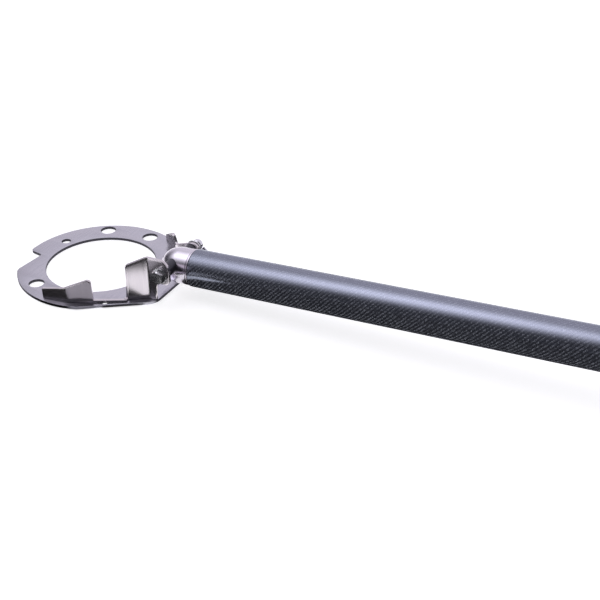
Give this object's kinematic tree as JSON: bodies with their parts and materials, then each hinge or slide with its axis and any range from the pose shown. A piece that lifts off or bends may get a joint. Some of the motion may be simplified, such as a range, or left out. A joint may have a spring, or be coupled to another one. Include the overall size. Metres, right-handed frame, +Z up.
{
  "type": "aircraft tow bar",
  "caption": "Hinged ring-plate head with upturned tabs on a round carbon-fibre bar with a T-handle, for steering and towing a light aircraft by hand.",
  "frame": {"origin": "middle of the tow bar's whole box, on its underside, which is the ring plate's underside", "axes": "+X along the bar from the ring plate to the T-handle, +Y across the bar to the clamp lever's side, +Z up"},
  "size_m": [1.0656, 0.2628, 0.0994],
  "materials": {
    "stainless": "satin, brushed",
    "polished_steel": "polished",
    "zinc_steel": "bright zinc plated",
    "bearing_steel": "ground",
    "carbon_fibre": "twill-weave carbon fibre under clear lacquer",
    "aluminium": "bead-blasted",
    "rubber": "matt",
    "black_plastic": "moulded"
  },
  "bodies": {
    "bar": {"ferrule": "polished_steel", "trunnion_tube": "stainless", "bush_front": "bearing_steel", "bush_back": "bearing_steel", "main_tube": "carbon_fibre", "handle_socket": "aluminium", "socket_bolt": "zinc_steel", "socket_washer_top": "zinc_steel", "socket_washer_bottom": "zinc_steel", "socket_nut": "zinc_steel", "handle_tube": "aluminium", "handle_set_screw": "zinc_steel", "grip_front": "rubber", "grip_back": "rubber", "cap_front": "black_plastic", "cap_back": "black_plastic"},
    "head": {"ring_plate": "stainless", "front_flange": "stainless", "back_flange": "stainless", "pivot_bolt": "zinc_steel", "washer_front": "zinc_steel", "washer_back": "zinc_steel"},
    "clamp_lever": {"lever_hub": "polished_steel", "lever_arm": "polished_steel", "lever_tip": "black_plastic"}
  },
  "joints": [
    {"name": "head_pivot", "type": "hinge", "parent": "bar", "child": "head", "pos_m": [-0.34727, 0, 0.033], "axis": [0, 1, 0], "range_deg": [-25, 80]},
    {"name": "clamp_lever_turn", "type": "hinge", "parent": "head", "child": "clamp_lever", "pos_m": [-0.34727, 0.033, 0.033], "axis": [0, -1, 0], "range_deg": [0, 120]}
  ]
}
